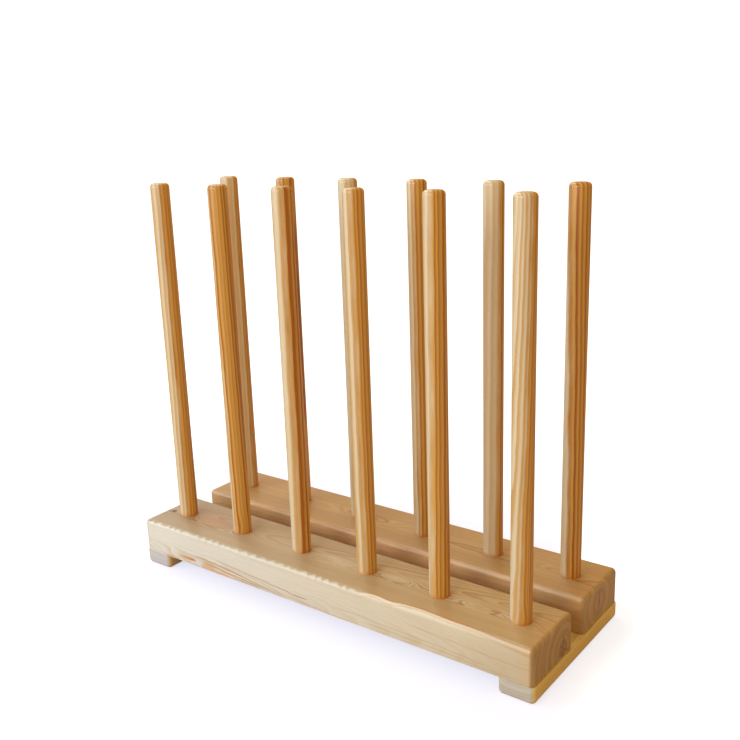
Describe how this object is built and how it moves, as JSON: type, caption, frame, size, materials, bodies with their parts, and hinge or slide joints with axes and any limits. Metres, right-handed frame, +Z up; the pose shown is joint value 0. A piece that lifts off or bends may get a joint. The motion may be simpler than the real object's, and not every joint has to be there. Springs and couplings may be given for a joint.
{
  "type": "boot rack",
  "caption": "Free-standing wooden boot rack: thick rounded beams on cross feet, with rows of tall round pegs that hold upturned boots.",
  "frame": {"origin": "on the floor, under the middle of the rack", "axes": "+X along the beams, +Y from the front beam to the rear beam, +Z up"},
  "size_m": [0.618, 0.224, 0.537],
  "materials": {
    "beam_wood": "oiled pine, satin",
    "foot_wood": "oiled pine, satin",
    "peg_wood": "oiled pine dowel, satin",
    "screw_steel": "yellow zinc plated"
  },
  "bodies": {
    "root": {"front_beam": "beam_wood", "rear_beam": "beam_wood", "left_foot": "foot_wood", "right_foot": "foot_wood", "front_peg_1": "peg_wood", "front_peg_2": "peg_wood", "front_peg_3": "peg_wood", "front_peg_4": "peg_wood", "front_peg_5": "peg_wood", "front_peg_6": "peg_wood", "rear_peg_1": "peg_wood", "rear_peg_2": "peg_wood", "rear_peg_3": "peg_wood", "rear_peg_4": "peg_wood", "rear_peg_5": "peg_wood", "rear_peg_6": "peg_wood", "left_front_screw_1": "screw_steel", "left_front_screw_2": "screw_steel", "left_rear_screw_1": "screw_steel", "left_rear_screw_2": "screw_steel", "right_front_screw_1": "screw_steel", "right_front_screw_2": "screw_steel", "right_rear_screw_1": "screw_steel", "right_rear_screw_2": "screw_steel"}
  },
  "joints": []
}
